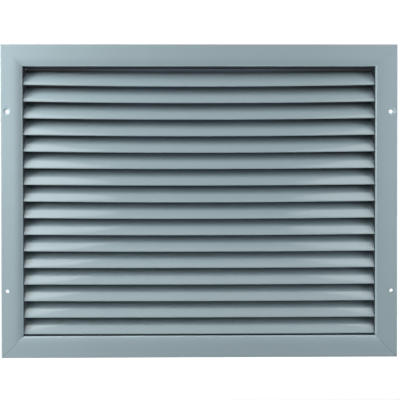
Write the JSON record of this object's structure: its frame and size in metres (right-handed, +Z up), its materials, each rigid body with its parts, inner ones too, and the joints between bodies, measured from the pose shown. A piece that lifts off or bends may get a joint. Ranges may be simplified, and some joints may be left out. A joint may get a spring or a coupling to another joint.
{
  "type": "fixed louvre air grille",
  "caption": "Fixed-blade louvred air grille: a mitred painted sheet-metal frame with a stack of sloping blades and countersunk fixing holes.",
  "frame": {"origin": "middle of the wall plane that the flange's return edges rest on", "axes": "+X to the right, +Z up, the louvred face looks along -Y and the neck goes back along +Y"},
  "size_m": [0.475, 0.0285, 0.375],
  "materials": {
    "frame_paint": "satin",
    "blade_paint": "satin"
  },
  "bodies": {
    "root": {"corner_gusset_bottom_left": "frame_paint", "corner_gusset_bottom_right": "frame_paint", "corner_gusset_top_left": "frame_paint", "corner_gusset_top_right": "frame_paint", "frame_bottom": "frame_paint", "frame_left": "frame_paint", "frame_right": "frame_paint", "frame_top": "frame_paint", "louvre_blade_01": "blade_paint", "louvre_blade_02": "blade_paint", "louvre_blade_03": "blade_paint", "louvre_blade_04": "blade_paint", "louvre_blade_05": "blade_paint", "louvre_blade_06": "blade_paint", "louvre_blade_07": "blade_paint", "louvre_blade_08": "blade_paint", "louvre_blade_09": "blade_paint", "louvre_blade_10": "blade_paint", "louvre_blade_11": "blade_paint", "louvre_blade_12": "blade_paint", "louvre_blade_13": "blade_paint", "louvre_blade_14": "blade_paint", "louvre_blade_15": "blade_paint", "louvre_blade_16": "blade_paint"}
  },
  "joints": []
}
